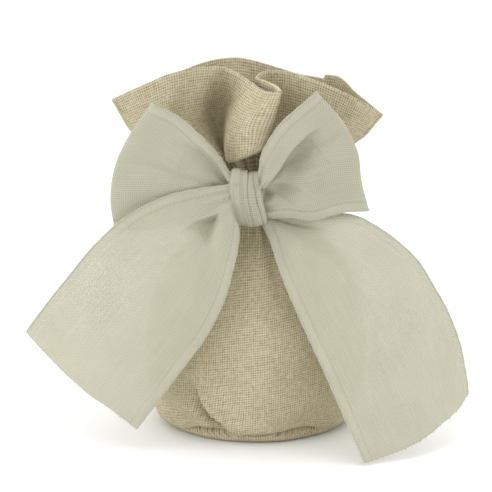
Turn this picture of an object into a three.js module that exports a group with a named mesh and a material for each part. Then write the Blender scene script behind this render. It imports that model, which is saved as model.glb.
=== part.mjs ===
// A small linen gift pouch, standing on its base, its neck gathered and tied with a wide ribbon bow.
// Millimetres, +Z up, the front faces -Y, and the origin is the centre of the flat base.
// The linen: a front and a back panel sewn to a round base, and the frill above the neck, as a front
// lip, a back lip and two side corners, with a turned hem inside each lip.
// The ribbon: a band round the neck, a bow centre with a wrap over it, two loops and two tails.
import * as THREE from "three";

// Driving dimensions
const LINEN = 1.2; // thickness of a linen wall with its turnings
const RIBBON = 1.0; // thickness of a ribbon layer
const GAP = 0.4; // clearance between neighbouring pieces
const DEPTH_SHARE = 0.93; // the pouch is a little narrower from front to back than across
const SEAM_Z = 4.2; // height of the seam between walls and base
const NECK_Z = 65; // middle of the tied neck
const NECK_HALF = 5.2; // half the height of the ribbon round the neck
const NECK_R = 9.6; // outer radius of the gathered linen in the neck
const THROAT_R = 4.6; // radius of the passage left through the gathers
const WALL_TOP = NECK_Z + NECK_HALF; // where the walls end and the frill begins
const FRILL_HEIGHT = 27; // from the neck to the mouth, along the cloth
const BASE_FLAT_R = 22.5; // the flat round that the pouch stands on
const BASE_R = 27; // the base with its rim turned up to the seam
const BOW_X = -2.6; // the bow sits a little to the left of the middle
const BOW_Y = -16.8; // and in front of the neck
const BOW_BITE = 1; // gap between the wrap and where a loop begins
const LOOP_HALF_DEPTH = 4.2; // half the room inside a loop, from front to back
const LOOP_END_BULGE = 3; // how far a loop's outer end swells beyond its corners
const WRAP_WIDTH = 9.4;
const WRAP_HALF_HEIGHT = 7.5;
const WRAP_HALF_DEPTH = 3.9;
const WRAP_THICK = 1.4;
const BAND_THICK = 2; // the band round the neck is bunched, so thicker than one layer
const ALLOWANCE = 5; // width of a turned seam allowance
const SEAM_THICK = 1.2; // two turnings pressed flat
const HEM = 7; // depth of the turned hem
const HEM_THICK = 1;

const linen = new THREE.MeshStandardMaterial({ color: 0xc9bc9c, roughness: 0.95, metalness: 0 });
const seamLinen = new THREE.MeshStandardMaterial({ color: 0xbfb08d, roughness: 0.95, metalness: 0 });
const ribbon = new THREE.MeshStandardMaterial({ color: 0xd3d0bd, roughness: 0.8, metalness: 0 });

const pouch = new THREE.Group();

function add(name, geometry, material) {
  const mesh = new THREE.Mesh(geometry, material);
  mesh.name = name;
  pouch.add(mesh);
  return mesh;
}

const V = (x, y, z) => new THREE.Vector3(x, y, z);
const bezier = (...points) =>
  points.length === 3 ? new THREE.QuadraticBezierCurve3(...points) : new THREE.CubicBezierCurve3(...points);
const spline = (points) => new THREE.CatmullRomCurve3(points, false, "centripetal");

// The value at x of a smooth line through [x, value] points, in order of x.
function smooth(points, x) {
  const at = Math.min(Math.max(x, points[0][0]), points.at(-1)[0]);
  const i = Math.max(0, points.findIndex((p) => p[0] >= at) - 1);
  const [a, b] = [points[i], points[i + 1]];
  const slope = (k) => {
    const [low, high] = [points[Math.max(k - 1, 0)], points[Math.min(k + 1, points.length - 1)]];
    return (high[1] - low[1]) / (high[0] - low[0]);
  };
  const [w, t] = [b[0] - a[0], (at - a[0]) / (b[0] - a[0])];
  const [t2, t3] = [t * t, t * t * t];
  return (
    (2 * t3 - 3 * t2 + 1) * a[1] +
    (t3 - 2 * t2 + t) * w * slope(i) +
    (3 * t2 - 2 * t3) * b[1] +
    (t3 - t2) * w * slope(i + 1)
  );
}

// A cloth sheet as one closed solid: the surface f(u, v) thickened along its normal, from low to high.
// low and high may be functions of (u, v).
function sheet(f, stepsU, stepsV, low, high) {
  const depth = (side, u, v) => (typeof side === "function" ? side(u, v) : side);
  const step = 1e-3;
  const positions = [];
  for (const side of [low, high]) {
    for (let i = 0; i <= stepsU; i++) {
      for (let j = 0; j <= stepsV; j++) {
        const [u, v] = [i / stepsU, j / stepsV];
        const [u0, u1] = [Math.max(u - step, 0), Math.min(u + step, 1)];
        const [v0, v1] = [Math.max(v - step, 0), Math.min(v + step, 1)];
        const alongU = f(u1, v).sub(f(u0, v));
        const alongV = f(u, v1).sub(f(u, v0));
        const normal = alongU.cross(alongV).normalize();
        const p = f(u, v).addScaledVector(normal, depth(side, u, v));
        positions.push(p.x, p.y, p.z);
      }
    }
  }
  const layer = (stepsU + 1) * (stepsV + 1);
  const at = (side, i, j) => side * layer + i * (stepsV + 1) + j;
  const index = [];
  const quad = (a, b, c, d) => index.push(a, b, c, a, c, d);
  for (let i = 0; i < stepsU; i++) {
    for (let j = 0; j < stepsV; j++) {
      quad(at(1, i, j), at(1, i + 1, j), at(1, i + 1, j + 1), at(1, i, j + 1));
      quad(at(0, i, j), at(0, i, j + 1), at(0, i + 1, j + 1), at(0, i + 1, j));
    }
    quad(at(0, i, 0), at(0, i + 1, 0), at(1, i + 1, 0), at(1, i, 0));
    quad(at(1, i, stepsV), at(1, i + 1, stepsV), at(0, i + 1, stepsV), at(0, i, stepsV));
  }
  for (let j = 0; j < stepsV; j++) {
    quad(at(0, 0, j), at(1, 0, j), at(1, 0, j + 1), at(0, 0, j + 1));
    quad(at(1, stepsU, j), at(0, stepsU, j), at(0, stepsU, j + 1), at(1, stepsU, j + 1));
  }
  const geometry = new THREE.BufferGeometry();
  geometry.setAttribute("position", new THREE.Float32BufferAttribute(positions, 3));
  geometry.setIndex(index);
  return geometry;
}

// A round piece about the vertical axis, from a profile of [radius, height] points.
function round(profile, segments = 32) {
  const geometry = new THREE.LatheGeometry(
    profile.map(([r, z]) => new THREE.Vector2(r, z)),
    segments,
  );
  return geometry.rotateX(Math.PI / 2).scale(1, DEPTH_SHARE, 1);
}

// The walls
// Half width of the pouch at each height: a full belly that draws in to the neck.
const BELLY = [
  [0, 25.4],
  [SEAM_Z, 27],
  [16, 29.4],
  [30, 28.4],
  [44, 22.8],
  [53, 14.8],
  [58, 10.6],
  [60, NECK_R],
  [NECK_Z, NECK_R - 0.2],
  [WALL_TOP + GAP, NECK_R],
];
const bellyRadius = (z) => smooth(BELLY, z);

// A point on the belly at an angle from +X, drawn in from the outer surface.
function onBelly(angle, z, inset = 0) {
  const r = bellyRadius(z) - inset;
  return V(r * Math.cos(angle), DEPTH_SHARE * r * Math.sin(angle), z);
}

// The gathers thicken the wall towards the neck, and leave only the throat open.
const wallThickness = (z) =>
  smooth([[0, LINEN], [44, LINEN], [58, NECK_R - THROAT_R], [WALL_TOP + GAP, NECK_R - THROAT_R]], z);

function wall(from, to) {
  const side = 0.012; // half the gap between the two walls at a side, in radians
  const z = (v) => SEAM_Z + GAP + v * (WALL_TOP - SEAM_Z - GAP);
  const angle = (u) => from + side + u * (to - from - 2 * side);
  return sheet(
    (u, v) => onBelly(angle(u), z(v)),
    16,
    14,
    (u, v) => -wallThickness(z(v)),
    0,
  );
}

// The round base, flat where it stands and turned up at its rim to meet the walls.
function base() {
  const steps = 5;
  // The rim's quarter turn, on the surface that lies inset from the outside.
  const rim = (inset) => {
    const points = [];
    for (let k = 0; k <= steps; k++) {
      const a = (k / steps) * (Math.PI / 2);
      const r = BASE_FLAT_R + (BASE_R - inset - BASE_FLAT_R) * Math.sin(a);
      points.push([r, inset + (SEAM_Z - inset) * (1 - Math.cos(a))]);
    }
    return points;
  };
  return round([[0, 0], ...rim(0), ...rim(LINEN).reverse(), [0, LINEN]]);
}

// The base seam's allowance: a ring of turnings that stands up inside the wall.
function baseSeam() {
  const outer = BASE_R - LINEN - GAP;
  const inner = outer - SEAM_THICK;
  const [low, high] = [SEAM_Z + GAP, SEAM_Z + ALLOWANCE];
  return round([[inner, low], [outer, low], [outer, high], [inner, high], [inner, low]]);
}

// A side seam's allowance: two turnings pressed towards the back, inside the wall.
function sideSeam(side) {
  const [bottom, top] = [SEAM_Z + ALLOWANCE + GAP, 40];
  const middle = side > 0 ? 0 : Math.PI;
  const turn = side * 0.2; // the allowance's width as an angle
  const start = 0.1; // the share of it that lies in front of the seam
  const inset = LINEN + 2 * GAP;
  return sheet(
    (u, v) => onBelly(middle + turn * (u - start), bottom + v * (top - bottom), inset),
    4,
    10,
    side > 0 ? -SEAM_THICK : 0,
    side > 0 ? 0 : SEAM_THICK,
  );
}

// The frill
const FRILL_BOTTOM = WALL_TOP + GAP + LINEN / 2;
// The mouth's edge, as [x, y, z] points: front lip, back lip and the two side corners.
const FRONT_EDGE = [
  [-26.5, -7.5, 93],
  [-20, -8.5, 96],
  [-12, -5.5, 97],
  [-5, -7, 95.5],
  [1, -11, 93.5],
  [6, -12.5, 93],
  [12, -7.5, 94],
  [18, -7, 92.5],
  [24.5, -6.5, 89.5],
];
const BACK_EDGE = [
  [-26.5, 8.5, 90],
  [-20, 11, 93],
  [-10, 12, 96],
  [-3, 10.5, 96.5],
  [5, 11.5, 94],
  [14, 11, 92],
  [20, 8, 92.5],
  [24.5, 6.5, 89],
];
const LEFT_EDGE = [
  [-27.2, -7.4, 93],
  [-32, -5, 91],
  [-37.4, 0, 87.2],
  [-32, 5.5, 88.5],
  [-27.2, 8.2, 90],
];
const RIGHT_EDGE = [
  [25.2, 6.3, 88.5],
  [29, 4.5, 86.5],
  [33, 0, 83],
  [29, -4.5, 87],
  [25.2, -6.2, 89],
];

// A stretch of frill: it leaves the neck between two angles, runs outwards and rises to the mouth's
// edge. spread is how far out it runs before it rises: 0 goes straight up.
function frillSurface(edge, fromDegrees, toDegrees, spread) {
  const rim = spline(edge.map((p) => V(...p)));
  const footR = (NECK_R + THROAT_R) / 2;
  const kneeRise = 3; // how far above its foot the frill bends outwards
  return (u, v) => {
    const top = rim.getPoint(u);
    const angle = THREE.MathUtils.degToRad(fromDegrees + u * (toDegrees - fromDegrees));
    const foot = V(footR * Math.cos(angle), DEPTH_SHARE * footR * Math.sin(angle), FRILL_BOTTOM);
    const knee = foot.clone().lerp(top, spread).setZ(FRILL_BOTTOM + kneeRise);
    return bezier(foot, knee, top).getPoint(v);
  };
}

// The turned hem follows the top of a lip, on the inside of the mouth.
function hem(lip, near, far) {
  const end = 0.02; // what the hem stops short of the lip's ends
  const height = (v) => 1 - (HEM / FRILL_HEIGHT) * (1 - v);
  return sheet((u, v) => lip(end + (1 - 2 * end) * u, height(v)), 18, 2, near, far);
}

function frill() {
  const [lipSpread, cornerSpread] = [0.45, 0.6];
  const front = frillSurface(FRONT_EDGE, 215, 325, lipSpread);
  const back = frillSurface(BACK_EDGE, 145, 35, lipSpread);
  const left = frillSurface(LEFT_EDGE, 211, 149, cornerSpread);
  const right = frillSurface(RIGHT_EDGE, 31, -31, cornerSpread);
  const half = LINEN / 2;
  add("front_frill", sheet(front, 18, 7, -half, half), linen);
  add("back_frill", sheet(back, 18, 7, -half, half), linen);
  add("left_frill_corner", sheet(left, 8, 7, -half, half), linen);
  add("right_frill_corner", sheet(right, 8, 7, -half, half), linen);
  const [near, far] = [half + GAP, half + GAP + HEM_THICK];
  add("front_hem", hem(front, -far, -near), seamLinen);
  add("back_hem", hem(back, near, far), seamLinen);
}

// The ribbon
function neckBand() {
  const [inner, outer] = [NECK_R + GAP, NECK_R + GAP + BAND_THICK];
  const [low, high] = [NECK_Z - NECK_HALF + GAP, NECK_Z + NECK_HALF - GAP];
  const middle = outer + 0.35; // its outside is a little crowned
  return round([
    [inner, low],
    [outer, low],
    [middle, NECK_Z],
    [outer, high],
    [inner, high],
    [inner, low],
  ]);
}

// The gathered ribbon inside the wrap.
function bowCentre() {
  const [halfDepth, halfHeight] = [WRAP_HALF_DEPTH - WRAP_THICK - GAP, WRAP_HALF_HEIGHT - WRAP_THICK - GAP];
  const geometry = new THREE.SphereGeometry(1, 16, 12);
  return geometry.scale(WRAP_WIDTH / 2 - GAP, halfDepth, halfHeight).translate(BOW_X, BOW_Y, NECK_Z);
}

// The wrap over the bow's centre: a flattened ring of folded ribbon about the X axis.
function knotWrap() {
  const ring = (halfDepth, halfHeight) => {
    const path = new THREE.Path();
    path.absellipse(0, 0, halfDepth, halfHeight, 0, 2 * Math.PI);
    return path.getPoints(9);
  };
  const shape = new THREE.Shape(ring(WRAP_HALF_DEPTH, WRAP_HALF_HEIGHT));
  shape.holes.push(new THREE.Path(ring(WRAP_HALF_DEPTH - WRAP_THICK, WRAP_HALF_HEIGHT - WRAP_THICK)));
  const geometry = new THREE.ExtrudeGeometry(shape, { depth: WRAP_WIDTH, bevelEnabled: false });
  return geometry
    .translate(0, 0, -WRAP_WIDTH / 2)
    .rotateX(Math.PI / 2)
    .rotateZ(Math.PI / 2)
    .translate(BOW_X, BOW_Y, NECK_Z);
}

// A loop: the ribbon leaves the knot as the front layer, turns over at its outer end and comes back
// behind. upper and lower are its edges' paths, seen from the front.
// outward is -1 for the left loop and 1 for the right one.
function loop(upper, lower, outward) {
  const quickStart = 0.52; // how much of the way out is covered right at the knot's end of a layer
  const [swellStart, swellRun] = [0.18, 0.86 * Math.PI]; // the stretch of a sine that opens the loop
  const fullness = 0.8; // below 1 the loop opens sooner
  const leastOpen = 0.12; // the room left at the knot, as a share of the loop's most
  return (u, v) => {
    const turn = Math.PI * (u - 0.5); // -90 degrees at the front layer's root, 90 at the back one's
    const straight = 0.5 - Math.abs(u - 0.5);
    const along = Math.min(1, quickStart * Math.sqrt(Math.cos(turn)) + straight);
    const p = lower.getPoint(along).lerp(upper.getPoint(along), v);
    p.x += outward * LOOP_END_BULGE * 4 * v * (1 - v) * along * along;
    const open = Math.pow(Math.sin(swellStart + swellRun * along), fullness);
    p.y += LOOP_HALF_DEPTH * Math.sin(turn) * Math.max(open, leastOpen);
    return p;
  };
}

// A tail: a ribbon between an outer and an inner edge, from the knot to its cut end.
function tail(outer, inner) {
  const [a, b] = [spline(outer.map((p) => V(...p))), spline(inner.map((p) => V(...p)))];
  return (u, v) => b.getPoint(u).lerp(a.getPoint(u), v);
}

const leftRoot = (z) => V(BOW_X - WRAP_WIDTH / 2 - BOW_BITE, BOW_Y, NECK_Z + z);
const rightRoot = (z) => V(BOW_X + WRAP_WIDTH / 2 + BOW_BITE, BOW_Y, NECK_Z + z);
const rootHalf = 2.6; // half the height of a loop where it enters the knot
const leftLoop = loop(
  bezier(leftRoot(rootHalf), V(-17, BOW_Y, 80), V(-27, BOW_Y, 89.5)),
  bezier(leftRoot(-rootHalf), V(-20, BOW_Y, 57.5), V(-36.4, BOW_Y, 57)),
  -1,
);
const rightLoop = loop(
  bezier(rightRoot(rootHalf), V(6, BOW_Y, 81), V(15.6, BOW_Y, 93)),
  bezier(rightRoot(-rootHalf), V(15, BOW_Y, 59.5), V(29, BOW_Y, 61.4)),
  1,
);
const leftTail = tail(
  [
    [-9.2, -22.6, 66],
    [-24, -23.5, 66],
    [-42, -21, 53],
    [-61, -14, 27.6],
  ],
  [
    [-8.6, -22.4, 60],
    [-5.5, -26.5, 50],
    [-10, -30.5, 36],
    [-31.3, -29, 5.6],
  ],
);
const rightTail = tail(
  [
    [4.4, -18, 57.2],
    [20, -19, 56.2],
    [43, -20.5, 48],
    [54, -20, 26],
    [56.2, -18.5, 12],
  ],
  [
    [3.6, -18.4, 54],
    [6.5, -25, 43],
    [13, -30, 32],
    [20, -35.5, 17],
    [27.6, -41.5, 2],
  ],
);

add("front_panel", wall(Math.PI, 2 * Math.PI), linen);
add("back_panel", wall(0, Math.PI), linen);
add("base_panel", base(), linen);
add("base_seam", baseSeam(), seamLinen);
add("left_side_seam", sideSeam(-1), seamLinen);
add("right_side_seam", sideSeam(1), seamLinen);
frill();
add("neck_band", neckBand(), ribbon);
add("bow_centre", bowCentre(), ribbon);
add("knot_wrap", knotWrap(), ribbon);
const ribbonSheet = (surface, stepsAlong) => sheet(surface, stepsAlong, 5, -RIBBON / 2, RIBBON / 2);
add("left_loop", ribbonSheet(leftLoop, 20), ribbon);
add("right_loop", ribbonSheet(rightLoop, 20), ribbon);
add("left_tail", ribbonSheet(leftTail, 12), ribbon);
add("right_tail", ribbonSheet(rightTail, 12), ribbon);

export default pouch;
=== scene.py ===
# A linen gift pouch tied with a wide ribbon bow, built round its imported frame.
# Places are in millimetres in the frame's axes until mesh() turns them into metres.
import math

import bpy
import numpy as np
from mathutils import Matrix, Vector


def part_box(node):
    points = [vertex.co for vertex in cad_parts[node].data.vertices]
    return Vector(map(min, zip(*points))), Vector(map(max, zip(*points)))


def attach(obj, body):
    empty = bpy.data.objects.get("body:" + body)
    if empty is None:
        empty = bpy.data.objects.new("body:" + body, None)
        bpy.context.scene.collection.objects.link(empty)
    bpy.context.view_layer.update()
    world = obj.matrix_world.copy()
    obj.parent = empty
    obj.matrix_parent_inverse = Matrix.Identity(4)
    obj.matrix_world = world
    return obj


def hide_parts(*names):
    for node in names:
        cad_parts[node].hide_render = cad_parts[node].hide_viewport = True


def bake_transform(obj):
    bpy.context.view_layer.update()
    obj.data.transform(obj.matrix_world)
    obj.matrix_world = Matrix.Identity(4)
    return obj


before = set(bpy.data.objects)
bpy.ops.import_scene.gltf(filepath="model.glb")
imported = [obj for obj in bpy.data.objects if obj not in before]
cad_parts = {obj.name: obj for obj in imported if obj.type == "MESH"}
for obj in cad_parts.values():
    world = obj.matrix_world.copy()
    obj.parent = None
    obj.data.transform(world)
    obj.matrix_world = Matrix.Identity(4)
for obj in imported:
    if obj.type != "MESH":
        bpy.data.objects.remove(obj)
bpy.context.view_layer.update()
MM = 0.001
TAU = 2 * math.pi


def node_box(name):
    """A CAD node's lowest and highest corner, in millimetres."""
    low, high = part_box(name)
    return np.array(low) / MM, np.array(high) / MM


# Driving dimensions, from the frame where it holds them
wrap_low, wrap_high = node_box("knot_wrap")
band_low, band_high = node_box("neck_band")
base_high = node_box("base_panel")[1]
KNOT = (wrap_low + wrap_high) / 2
NECK_Z = (band_low[2] + band_high[2]) / 2
BAND_R = band_high[0]
BAND_HALF = (band_high[2] - band_low[2]) / 2
DEPTH_SHARE = base_high[1] / base_high[0]

PANEL_WIDTH = 100.0  # a panel's cut width, seam to seam
RIBBON_WIDTH = 40.0
LINEN_THICK = 0.42
RIBBON_THICK = 0.16
HEM = 8.0  # depth of the turned hem
ALLOWANCE = 5.0  # width of a seam's turned allowance
SELVAGE = 2.0  # width of the dense edge of the ribbon
LINEN_PITCH = 0.64  # from thread to thread
RIBBON_PITCH = 0.56
STITCH_PITCH = 0.8  # from bobble to bobble along a selvage
TILT = math.radians(15)  # the camera looks down by this much

# Smooth lines and sheets


def hermite(knots, values, x):
    """A smooth line through values at knots, at every x. values may hold points or whole rows."""
    knots, values, x = np.asarray(knots, float), np.asarray(values, float), np.asarray(x, float)
    slopes = np.empty_like(values)
    gap = np.diff(knots).reshape((-1,) + (1,) * (values.ndim - 1))
    rise = np.diff(values, axis=0) / gap
    slopes[0], slopes[-1] = rise[0], rise[-1]
    slopes[1:-1] = (rise[:-1] * gap[1:] + rise[1:] * gap[:-1]) / (gap[1:] + gap[:-1])
    i = np.clip(np.searchsorted(knots, x, side="right") - 1, 0, len(knots) - 2)
    shape = x.shape + (1,) * (values.ndim - 1)
    width = (knots[i + 1] - knots[i]).reshape(shape)
    t = ((x - knots[i]) / (knots[i + 1] - knots[i])).reshape(shape)
    return (
        (2 * t**3 - 3 * t**2 + 1) * values[i]
        + (t**3 - 2 * t**2 + t) * width * slopes[i]
        + (3 * t**2 - 2 * t**3) * values[i + 1]
        + (t**3 - t**2) * width * slopes[i + 1]
    )


def run_length(points):
    """The distance along a row of points, from its first."""
    steps = np.linalg.norm(np.diff(np.asarray(points, float), axis=0), axis=-1)
    return np.concatenate([np.zeros((1,) + steps.shape[1:]), np.cumsum(steps, axis=0)])


def pick(rows, run, where):
    """Rows at distances `where` along a run."""
    return np.stack([np.interp(where, run, rows[:, k]) for k in range(3)], axis=1)


def line(points, count):
    """count points at even steps along a smooth line through the given points."""
    points = np.asarray(points, float)
    knots = np.concatenate([[0], np.cumsum(np.linalg.norm(np.diff(points, axis=0), axis=1) ** 0.5)])
    fine = hermite(knots, points, np.linspace(0, knots[-1], 40 * len(points)))
    run = run_length(fine)
    return pick(fine, run, np.linspace(0, run[-1], count))


def smoothstep(low, high, x):
    t = np.clip((np.asarray(x, float) - low) / (high - low), 0, 1)
    return t * t * (3 - 2 * t)


def bump(x, middle, width):
    """A smooth hump of height 1."""
    return np.exp(-(((x - middle) / width) ** 2))


def ripple(x, y, seed, scale):
    """Smooth seeded unevenness from -1 to 1 over a sheet, in sheet millimetres."""
    rng = np.random.default_rng(seed)
    total = np.zeros(np.broadcast(x, y).shape)
    weight = 0
    for octave in range(3):
        for _ in range(5):
            direction = rng.uniform(0, TAU)
            phase = rng.uniform(0, TAU)
            pitch = scale / 1.9**octave * rng.uniform(0.75, 1.35)
            place = x * math.cos(direction) + y * math.sin(direction)
            total += np.sin(place * TAU / pitch + phase) / 2**octave
        weight += 5 / 2**octave
    return total / weight * 2.2


def coons(start, end, low, high):
    """A sheet between four edges: start and end run along w, low and high along a.
    The result is indexed [a, w]."""
    a = np.linspace(0, 1, len(low))[:, None, None]
    w = np.linspace(0, 1, len(start))[None, :, None]
    ruled = (1 - w) * low[:, None] + w * high[:, None] + (1 - a) * start[None] + a * end[None]
    corners = (
        (1 - a) * (1 - w) * low[0] + (1 - a) * w * high[0] + a * (1 - w) * low[-1] + a * w * high[-1]
    )
    return ruled - corners


def normals(grid):
    """Unit normals of a sheet's points."""
    along = np.gradient(grid, axis=0)
    across = np.gradient(grid, axis=1)
    n = np.cross(along, across)
    return n / np.maximum(np.linalg.norm(n, axis=2, keepdims=True), 1e-9)


def seen(grid):
    """Where the camera sees places: how far across, and how high."""
    return grid[..., 0], grid[..., 2] * math.cos(TILT) + grid[..., 1] * math.sin(TILT)


def beside(x, s, path):
    """How far places lie to the right of a path, and how far along it, from 0 to 1."""
    path = np.asarray(path, float)
    run = run_length(path)
    nearest = np.full(x.shape, np.inf)
    side, along = np.zeros(x.shape), np.zeros(x.shape)
    for p, q, before, after in zip(path, path[1:], run, run[1:]):
        dx, ds = q - p
        t = np.clip(((x - p[0]) * dx + (s - p[1]) * ds) / (dx * dx + ds * ds), 0, 1)
        away_x, away_s = x - p[0] - t * dx, s - p[1] - t * ds
        distance = np.hypot(away_x, away_s)
        closer = distance < nearest
        nearest = np.where(closer, distance, nearest)
        side = np.where(closer, distance * np.sign(ds * away_x - dx * away_s), side)
        along = np.where(closer, (before + t * (after - before)) / run[-1], along)
    return side, along


def drop(x, s, path, depths, sharp, hold, soft):
    """A fold that falls away on the right of a path, over `sharp`, stays down for `hold` and comes
    back over `soft`."""
    side, along = beside(x, s, path)
    depth = np.interp(along, np.linspace(0, 1, len(depths)), depths)
    return -depth * smoothstep(-sharp, sharp, side) * bump(np.maximum(side - hold, 0), 0, soft)


def groove(x, s, path, depths, width):
    """A valley along a path, with the same slope on both sides."""
    side, along = beside(x, s, path)
    return -np.interp(along, np.linspace(0, 1, len(depths)), depths) * bump(side, 0, width)


def placed(name, data):
    """A new object in the scene, for a mesh, a light or a camera."""
    thing = bpy.data.objects.new(name, data)
    bpy.context.scene.collection.objects.link(thing)
    return thing


def piece_from(name, points, faces, uv, material, smooth):
    """A piece from points in millimetres, faces and the UV map of their corners."""
    data = bpy.data.meshes.new(name)
    data.from_pydata((points.reshape(-1, 3) * MM).tolist(), [], faces)
    data.uv_layers.new(name="cloth").data.foreach_set("uv", uv)
    data.materials.append(material)
    data.polygons.foreach_set("use_smooth", [smooth] * len(faces))
    return placed(name, data)


def mesh(name, grid, u, v, material, thick=0.0, closed=False):
    """A piece from a sheet of points [i, j] in millimetres. u and v are the cloth's own places in
    millimetres, and a hundredth of them is the UV map."""
    rows, columns = grid.shape[:2]
    u, v = np.broadcast_to(u, (rows, columns)), np.broadcast_to(v, (rows, columns))
    if closed:  # the last faces run on past the last column, back to the first
        u = np.hstack([u, u[:, -1:] + u[0, -1] - u[0, -2]])
        v = np.hstack([v, v[:, :1]])
    faces, uv = [], []
    for i in range(rows - 1):
        for j in range(u.shape[1] - 1):
            k = (j + 1) % columns
            faces.append((i * columns + j, (i + 1) * columns + j, (i + 1) * columns + k, i * columns + k))
            for row, column in ((i, j), (i + 1, j), (i + 1, j + 1), (i, j + 1)):
                uv += [u[row, column], v[row, column]]
    piece = piece_from(name, grid, faces, np.array(uv, float) / 100, material, True)
    if thick:
        solid = piece.modifiers.new("thickness", "SOLIDIFY")
        solid.thickness = thick * MM
        solid.offset = 0
        apply_modifiers(piece)
    return piece


def apply_modifiers(piece):
    """Puts the result of a piece's modifiers into its mesh."""
    evaluated = piece.evaluated_get(bpy.context.evaluated_depsgraph_get())
    made = bpy.data.meshes.new_from_object(evaluated)
    piece.modifiers.clear()
    old = piece.data
    piece.data = made
    made.name = piece.name
    bpy.data.meshes.remove(old)


# Materials


class Nodes:
    """Short forms for building a node tree."""

    def __init__(self, name):
        self.material = bpy.data.materials.new(name)
        self.material.use_nodes = True
        self.tree = self.material.node_tree
        self.tree.nodes.clear()

    def add(self, kind, **values):
        node = self.tree.nodes.new("ShaderNode" + kind)
        for key, value in values.items():
            setattr(node, key, value)
        return node

    def put(self, socket, value):
        if isinstance(value, bpy.types.NodeSocket):
            self.tree.links.new(value, socket)
        else:
            socket.default_value = value

    def fill(self, node, *values):
        for socket, value in zip(node.inputs, values):
            self.put(socket, value)
        return node.outputs[0]

    def math(self, operation, a, b=0.0, c=0.0):
        return self.fill(self.add("Math", operation=operation), a, b, c)

    def times(self, a, b):
        return self.math("MULTIPLY", a, b)

    def times_plus(self, a, b, c):
        return self.math("MULTIPLY_ADD", a, b, c)

    def noise(self, vector, scale, detail=2.0, roughness=0.5):
        node = self.add("TexNoise")
        self.put(node.inputs["Vector"], vector)
        node.inputs["Scale"].default_value = scale
        node.inputs["Detail"].default_value = detail
        node.inputs["Roughness"].default_value = roughness
        return node.outputs[0]

    def stretch(self, vector, x, y):
        node = self.add("Mapping")
        self.put(node.inputs["Vector"], vector)
        node.inputs["Scale"].default_value = (x, y, 1)
        return node.outputs[0]

    def mix(self, factor, a, b):
        node = self.add("Mix", data_type="RGBA")
        self.put(node.inputs[0], factor)
        self.put(node.inputs[6], a)
        self.put(node.inputs[7], b)
        return node.outputs[2]

    def mix_shaders(self, factor, a, b):
        return self.fill(self.add("MixShader"), factor, a, b)

    def range(self, value, low, high, to_low=0.0, to_high=1.0, smooth=True):
        node = self.add("MapRange", interpolation_type="SMOOTHSTEP" if smooth else "LINEAR")
        return self.fill(node, value, low, high, to_low, to_high)


def cloth_places(n):
    """The cloth's own places in millimetres: as a whole, and as u and v."""
    place = n.stretch(n.add("UVMap", uv_map="cloth").outputs[0], 100, 100)
    split = n.add("SeparateXYZ")
    n.put(split.inputs[0], place)
    return place, split.outputs[0], split.outputs[1]


def cloth_shader(n, colour, height, relief_strength, relief_depth, roughness, **values):
    """A cloth surface, and the relief of its threads."""
    relief = n.add("Bump")
    relief.inputs["Strength"].default_value = relief_strength
    relief.inputs["Distance"].default_value = relief_depth * MM
    n.put(relief.inputs["Height"], height)
    shader = n.add("BsdfPrincipled")
    n.put(shader.inputs["Base Color"], colour)
    n.put(shader.inputs["Normal"], relief.outputs[0])
    n.put(shader.inputs["Roughness"], roughness)
    shader.inputs["Sheen Weight"].default_value = 0.15
    for key, value in values.items():
        shader.inputs[key.replace("_", " ")].default_value = value
    return shader.outputs[0], relief.outputs[0]


def weave(n, u, v, pitch, drift):
    """Plain weave from cloth places u and v in millimetres: the height of its threads, how far they
    cover the cloth, and which is on top, from -1 for the weft to 1 for the warp."""
    turn_u = n.times(n.math("ADD", u, drift[0]), math.pi / pitch)
    turn_v = n.times(n.math("ADD", v, drift[1]), math.pi / pitch)
    sine_u, sine_v = n.math("SINE", turn_u), n.math("SINE", turn_v)
    warp_round, weft_round = n.math("ABSOLUTE", sine_u), n.math("ABSOLUTE", sine_v)
    over = n.times(sine_u, sine_v)
    warp = n.times(warp_round, n.times_plus(over, 0.5, 0.5))
    weft = n.times(weft_round, n.times_plus(over, -0.5, 0.5))
    height = n.math("SMOOTH_MAX", warp, weft, 0.12)
    return height, n.math("MAXIMUM", warp_round, weft_round), over


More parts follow.
